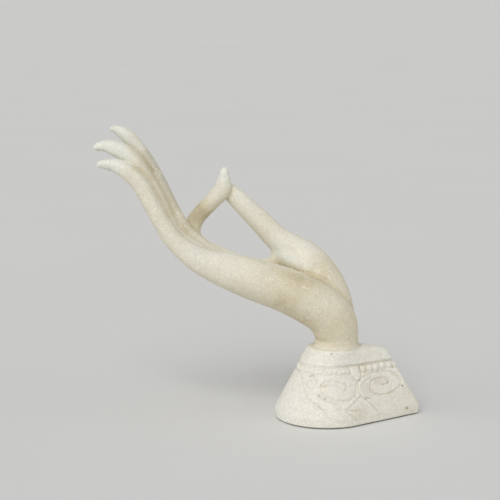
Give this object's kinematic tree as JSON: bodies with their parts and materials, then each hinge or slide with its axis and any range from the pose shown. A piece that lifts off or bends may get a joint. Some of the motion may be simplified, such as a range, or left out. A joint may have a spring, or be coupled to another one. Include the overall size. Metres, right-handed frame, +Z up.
{
  "type": "buddha hand sculpture",
  "caption": "Stone hand, palm up, its thumb and index finger joined in a ring, standing by the wrist on a drop-shaped plinth carved like a beaded cuff.",
  "frame": {"origin": "on the table under the axis of the wrist, in the middle of the felt base's underside", "axes": "+Z up along the wrist; +X towards the plinth's corner, with the fingers reaching towards -X; +Y towards the thumb's side, so the little finger is on the -Y side"},
  "size_m": [0.3268, 0.1019, 0.296],
  "materials": {
    "hand_stone": "honed, fine bright grains",
    "plinth_stone": "carved, matt, lightly weathered",
    "mortar": "matt",
    "steel": "machined",
    "resin": "cast",
    "rubber": "matt",
    "felt": "felt"
  },
  "bodies": {
    "root": {"hand": "hand_stone", "plinth": "plinth_stone", "setting_mortar": "mortar", "tie_rod": "steel", "anchor_resin": "resin", "locating_pin": "steel", "cushion_washer": "rubber", "steel_washer": "steel", "hex_nut": "steel", "felt_base": "felt"}
  },
  "joints": []
}
